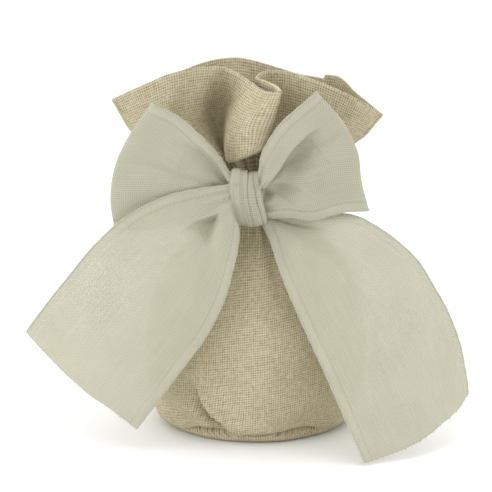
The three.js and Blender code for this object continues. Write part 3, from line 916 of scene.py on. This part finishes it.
def left_creases(x, s):
    push = drop(x, s, LEFT_HOLLOW, (0, 1.1, 2.3, 2.8, 2.2), 0.9, 0.8, 5.5)
    return push - groove(x, s, [(-22, 59), (-14, 61.6), (-7.2, 62.6)], (0, 0.4, 0.9), 1.8)


RIGHT_ROOT = in_bow((-0.4, 60.8), (-0.2, 65), (-0.4, 70))
RIGHT_FOLD = in_bow((29.4, 61.8), (27.4, 69.6), (26.4, 77), (22.6, 85), (15.6, 93))
RIGHT_LOWER = in_bow((-0.4, 60.8), (3.4, 59.9), (9.2, 60.3), (14.8, 59.8), (23.5, 61.9), (29.4, 61.8))
RIGHT_UPPER = in_bow((-0.4, 70), (0.9, 73), (1.2, 76), (2.4, 79.3), (6.8, 85.8), (15.6, 93))
# The band along the upper edge hangs over a deep hollow; a second fold opens below it.
RIGHT_BAND = [(1.2, 57.5), (2.4, 60.7), (6.6, 66), (9, 69.7), (10.6, 71.5), (13, 74), (16.5, 76.5)]
RIGHT_WEDGE = [(2.6, 60.9), (4.4, 61.3), (7.7, 61.1), (11.6, 59.6), (15.5, 57.4)]


def right_creases(x, s):
    push = drop(x, s, RIGHT_BAND, (0.6, 2.0, 4.8, 5.0, 4.2, 2.0, 0), 0.35, 1.6, 5.5)
    push -= groove(x, s, [(1.5, 61.6), (6.5, 63.6), (12, 64.2), (18, 63.8)], (0.8, 2.0, 1.6, 0), 2.6)
    push += drop(x, s, RIGHT_WEDGE, (1.2, 2.0, 1.5, 0.6, 0), 0.9, 0.4, 3.2)
    return push + groove(x, s, [(2.4, 59.2), (3.4, 59)], (1.4, 0.9), 0.9)


def tail(name, upper, lower, root, cut, shape, hidden, seed):
    """A tail: the ribbon between two edges, from the knot to its cut end. shape(x, s, a, w) pushes
    it out along its normal, in millimetres."""
    steps_a, steps_w = 190, 130
    grid = coons(line(root, steps_w), line(cut, steps_w), line(lower, steps_a), line(upper, steps_a))
    a, w = np.linspace(0, 1, steps_a)[:, None], np.linspace(0, 1, steps_w)[None, :]
    n = normals(grid)
    n *= np.sign(-n[..., 1:2].mean())
    reach = run_length(grid[:, steps_w // 2])
    uneven = ripple(reach[:, None], w * 40, seed, 22) * smoothstep(0.1, 0.35, a)
    push = shape(*seen(grid), a, w) + 0.22 * uneven
    grid = grid + n * push[..., None]
    pieces = ribbon_sheet(name, grid, reach[:, None], hidden)
    pieces.append(threads(f"{name}_fray", frayed(grid, seed), 0.055))
    return pieces, grid


# The pocket under the left tail's first fold, and the lobe at its right.
LEFT_LIP = [(-19.5, 49.4), (-17.6, 50.6), (-15.6, 51.8), (-13.4, 52.6), (-11.2, 53.3), (-9.4, 54.1)]


def left_shape(x, s, a, w):
    lobe_edge = hermite([43, 46, 50, 54, 60], [-8.5, -10.2, -10.8, -9.3, -8], np.clip(s, 43, 60))
    inside = 1 - smoothstep(-1.7, 0.8, x - lobe_edge)
    pocket = drop(x, s, LEFT_LIP, (0, 1.0, 2.2, 3.2, 3.4, 2.2), 0.6, 2.4, 3.6) * inside
    lobe = 1.5 * bump(x, -8.2, 1.7) * bump(s, 50, 5)
    fan = -0.9 * bump(w, 0.62, 0.07 + 0.07 * a) * bump(a, 0, 0.2)
    fan = fan - 0.7 * bump(w, 0.84, 0.05 + 0.06 * a) * bump(a, 0, 0.22)
    fan = fan * smoothstep(0, 0.05, a)
    bulge = 1.6 * np.sin(math.pi * w) * smoothstep(0.12, 0.6, a)
    return pocket + lobe + fan + bulge


RIGHT_VALLEY = [(6, 53.5), (11, 51.5), (17, 49), (23, 45.2), (26, 39), (27, 31)]


def right_shape(x, s, a, w):
    push = groove(x, s, RIGHT_VALLEY, (0.8, 1.5, 1.9, 1.6, 1.0, 0), 3.4)
    push += groove(x, s, [(3.5, 50), (6, 45), (9, 38), (12, 30)], (0.8, 1.1, 0.6, 0), 1.6)
    fan = -0.8 * bump(w, 0.8, 0.05 + 0.08 * a) * bump(a, 0, 0.26) * smoothstep(0, 0.05, a)
    return push + fan + 2.4 * np.sin(math.pi * w) * smoothstep(0.05, 0.6, a)


LEFT_TAIL_ROOT = [(-6.2, -19.4, 61), (-6.0, -19.8, 64.5), (-6.0, -19.4, 69.2)]
LEFT_TAIL_CUT = [
    (-31.3, -29, 5.6), (-36, -27.5, 9.4), (-43.8, -23.5, 14), (-52, -18.4, 20), (-61, -14, 27.6),
]
LEFT_TAIL_UPPER = [
    (-6.0, -19.4, 69.2), (-10, -21.2, 69.1), (-16.9, -21.7, 68.2), (-24.6, -22, 66.1), (-33.3, -21.9, 61.4),
    (-42.1, -21, 53.2), (-49, -18.8, 44.3), (-54.2, -16.8, 37.4), (-61, -14, 27.6),
]
LEFT_TAIL_LOWER = [
    (-6.2, -19.4, 61), (-4.5, -24, 58.1), (-5.0, -26.4, 53.1), (-6.2, -28, 48), (-8.4, -29.6, 40.5),
    (-13.2, -30.6, 31), (-18.3, -30.6, 23.9), (-24.2, -30, 15.6), (-31.3, -29, 5.6),
]
RIGHT_TAIL_ROOT = [(1.2, -16.4, 58.4), (1.8, -16.6, 59.4), (1.6, -16.2, 60.6)]
RIGHT_TAIL_CUT = [
    (28, -42, 0.9), (32.7, -38.6, 1.4), (39.6, -34, 3.2), (46.5, -28, 6.2), (52.3, -22.5, 8.9),
    (56.2, -18.5, 11.9),
]
RIGHT_TAIL_UPPER = [
    (1.6, -16.2, 60.6), (10, -16.4, 60.4), (20, -16.8, 60.9), (26.4, -17.8, 60.2), (30.1, -18.8, 58.6),
    (36.4, -19.6, 54.4), (42, -20.2, 49.1), (46.5, -20.4, 42.1), (51, -20.3, 33.6), (53.9, -19.8, 25.5),
    (55.6, -19, 17.2), (56.2, -18.5, 11.9),
]
RIGHT_TAIL_LOWER = [
    (1.2, -16.4, 58.4), (3.7, -21, 54.8), (5.5, -25, 50), (8.2, -28.5, 43.2), (12.9, -32, 33.2),
    (19.5, -37, 19.5), (23.5, -39.5, 10.6), (28, -42, 0.9),
]

neck, knot, centre = neck_ribbon(), knot_ribbon(), centre_ribbon()
left_edges = (LEFT_ROOT, LEFT_FOLD, LEFT_LOWER, LEFT_UPPER)
left_loop = loop("left_loop_ribbon", *left_edges, 4.1, left_creases, 0.55, 21)
right_edges = (RIGHT_ROOT, RIGHT_FOLD, RIGHT_LOWER, RIGHT_UPPER)
right_loop = loop("right_loop_ribbon", *right_edges, 4.1, right_creases, 0.62, 31)
left_edges = (LEFT_TAIL_UPPER, LEFT_TAIL_LOWER, LEFT_TAIL_ROOT, LEFT_TAIL_CUT)
left_tail, left_grid = tail("left_tail_ribbon", *left_edges, left_shape, 0.42, 41)
right_edges = (RIGHT_TAIL_UPPER, RIGHT_TAIL_LOWER, RIGHT_TAIL_ROOT, RIGHT_TAIL_CUT)
right_tail, _ = tail("right_tail_ribbon", *right_edges, right_shape, 0.5, 51)
strays = stray_loops(left_grid[:, -1], (0.27, 0.33, 0.36, 0.42), (-0.6, -0.2, 0.75), 61)
left_tail.append(threads("left_tail_strays", strays, 0.07))
upper_edge = np.array(LEFT_UPPER, float)[1:] + [0, -3.4, 0.2]
shares = (0.04, 0.08, 0.11, 0.15, 0.2, 0.24, 0.3, 0.37, 0.55)
strays = stray_loops(line(upper_edge, 60), shares, (0.5, -0.3, 0.8), 62)
left_loop.append(threads("left_loop_strays", strays, 0.075))


# Every piece's place is baked into its mesh and the CAD nodes it replaces are hidden; the still pieces go
# under the pouch's empty
def metres(*place):
    return tuple(x * MM for x in place)


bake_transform(front)
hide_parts("front_panel", "front_frill", "front_hem")
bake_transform(back)
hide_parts("back_panel", "back_frill", "back_hem", "left_frill_corner", "right_frill_corner")
still_nodes = ["base_panel", "left_side_seam", "right_side_seam", "base_seam"]
still_nodes += ["neck_band", "knot_wrap", "bow_centre"]
for piece, node in zip([base] + seams + [neck, knot, centre], still_nodes):
    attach(piece, "pouch")
    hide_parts(node)
for pieces, body, start, end in (
    (left_loop, "left_loop", (-6, KNOT[1], NECK_Z), (-15, KNOT[1], NECK_Z)),
    (right_loop, "right_loop", (1, KNOT[1], NECK_Z), (10, KNOT[1], NECK_Z)),
    (left_tail, "left_tail", (-6.5, -20, 66), (-15, -23, 58)),
    (right_tail, "right_tail", (2, -17, 59), (7, -20, 50)),
):
    for piece in pieces:
        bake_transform(piece)
    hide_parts(body)


# Camera, light and floor
def studio():
    """A pale floor that curves up behind, square soft boxes and a camera a little above."""
    paper = bpy.data.materials.new("paper")
    paper.use_nodes = True
    shader = paper.node_tree.nodes["Principled BSDF"]
    shader.inputs["Base Color"].default_value = (0.93, 0.93, 0.93, 1)
    shader.inputs["Roughness"].default_value = 0.9
    data = bpy.data.meshes.new("floor")
    curve = np.linspace(0, math.pi / 2, 16)
    rows = [(0.5 + 0.4 * math.sin(t), 0.4 - 0.4 * math.cos(t)) for t in curve]
    rows = [(-4.0, 0.0)] + rows + [(0.9, 1.8)]
    points = [(x, y, z) for y, z in rows for x in (-6.0, 6.0)]
    faces = [(2 * i, 2 * i + 1, 2 * i + 3, 2 * i + 2) for i in range(len(rows) - 1)]
    data.from_pydata(points, [], faces)
    data.polygons.foreach_set("use_smooth", [True] * len(faces))
    data.materials.append(paper)
    placed("floor", data)

    def area(name, place, size, power):
        light = bpy.data.lights.new(name, "AREA")
        light.size = size
        light.energy = power
        lamp = placed(name, light)
        lamp.location = place
        aim = Vector((0, 0, 0.05)) - Vector(place)
        lamp.rotation_euler = aim.to_track_quat("-Z", "Y").to_euler()

    area("key", (-1.0, -0.3, 0.36), 0.8, 4.3)
    area("fill", (1.0, -0.3, 0.36), 0.8, 2.6)
    area("top", (0.0, 0.1, 0.95), 0.9, 2.5)
    world = bpy.data.worlds.new("world")
    world.use_nodes = True
    world.node_tree.nodes["Background"].inputs[0].default_value = (1, 1, 1, 1)
    world.node_tree.nodes["Background"].inputs[1].default_value = 0.95
    bpy.context.scene.world = world

    # The frame is 130 mm wide at the bow's depth.
    aim = Vector(metres(-2.6, -12, 50.7))
    width_shown = 129.9 * MM
    camera_data = bpy.data.cameras.new("camera")
    camera_data.lens, camera_data.sensor_width = 180, 36
    distance = width_shown * camera_data.lens / camera_data.sensor_width
    camera = placed("camera", camera_data)
    camera.location = aim + distance * Vector((0, -math.cos(TILT), math.sin(TILT)))
    camera.rotation_euler = (math.pi / 2 - TILT, 0, 0)
    camera_data.clip_start, camera_data.clip_end = 0.01, 10
    bpy.context.scene.camera = camera
    bpy.context.scene.view_settings.view_transform = "Standard"


studio()
